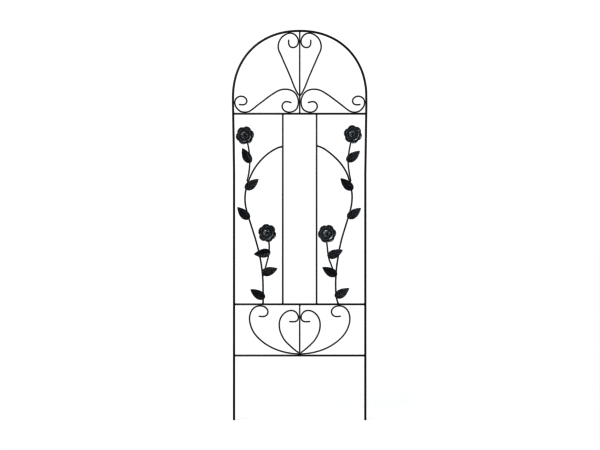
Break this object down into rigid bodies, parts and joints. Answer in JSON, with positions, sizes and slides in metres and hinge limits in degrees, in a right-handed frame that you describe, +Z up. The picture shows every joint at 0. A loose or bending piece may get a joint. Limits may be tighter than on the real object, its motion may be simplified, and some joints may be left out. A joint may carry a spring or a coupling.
{
  "type": "garden trellis panel",
  "caption": "Flat arched metal trellis panel with rod scrollwork, two climbing vines, sheet-metal leaves and roses, and two plain legs for pushing into soil.",
  "frame": {"origin": "on the ground line, midway between the two legs' ends, in the plane of the rods", "axes": "+X across the panel, to the right as seen from the front; +Z up; the leaves and roses face -Y"},
  "size_m": [0.5198, 0.0298, 1.4999],
  "materials": {
    "frame_coat": "satin black powder coat",
    "crossbar_coat": "satin black powder coat",
    "scroll_coat": "satin black powder coat",
    "vine_coat": "satin black powder coat",
    "leaf_coat": "satin black powder coat over pressed sheet",
    "rose_coat": "semi-gloss black powder coat over pressed sheet"
  },
  "bodies": {
    "root": {"arch_centre_rod": "scroll_coat", "arch_scroll_left": "scroll_coat", "arch_scroll_right": "scroll_coat", "base_scroll_left": "scroll_coat", "base_scroll_right": "scroll_coat", "fan_scroll_left": "scroll_coat", "fan_scroll_right": "scroll_coat", "heart_scroll_left": "scroll_coat", "heart_scroll_right": "scroll_coat", "inner_upright_left": "crossbar_coat", "inner_upright_right": "crossbar_coat", "leaf_left_1": "leaf_coat", "leaf_left_2": "leaf_coat", "leaf_left_3": "leaf_coat", "leaf_left_4": "leaf_coat", "leaf_left_5": "leaf_coat", "leaf_left_6": "leaf_coat", "leaf_right_1": "leaf_coat", "leaf_right_2": "leaf_coat", "leaf_right_3": "leaf_coat", "leaf_right_4": "leaf_coat", "leaf_right_5": "leaf_coat", "leaf_right_6": "leaf_coat", "low_crossbar": "crossbar_coat", "lower_centre_rod": "scroll_coat", "lower_rose_left_bud": "rose_coat", "lower_rose_left_inner_petals": "rose_coat", "lower_rose_left_middle_petals": "rose_coat", "lower_rose_left_outer_petals": "rose_coat", "lower_rose_right_bud": "rose_coat", "lower_rose_right_inner_petals": "rose_coat", "lower_rose_right_middle_petals": "rose_coat", "lower_rose_right_outer_petals": "rose_coat", "lower_rose_stem_left": "vine_coat", "lower_rose_stem_right": "vine_coat", "mid_crossbar": "crossbar_coat", "outer_frame": "frame_coat", "top_crossbar": "crossbar_coat", "upper_rose_left_bud": "rose_coat", "upper_rose_left_inner_petals": "rose_coat", "upper_rose_left_middle_petals": "rose_coat", "upper_rose_left_outer_petals": "rose_coat", "upper_rose_right_bud": "rose_coat", "upper_rose_right_inner_petals": "rose_coat", "upper_rose_right_middle_petals": "rose_coat", "upper_rose_right_outer_petals": "rose_coat", "upper_rose_stem_left": "vine_coat", "upper_rose_stem_right": "vine_coat", "vine_stem_left": "vine_coat", "vine_stem_right": "vine_coat"}
  },
  "joints": []
}
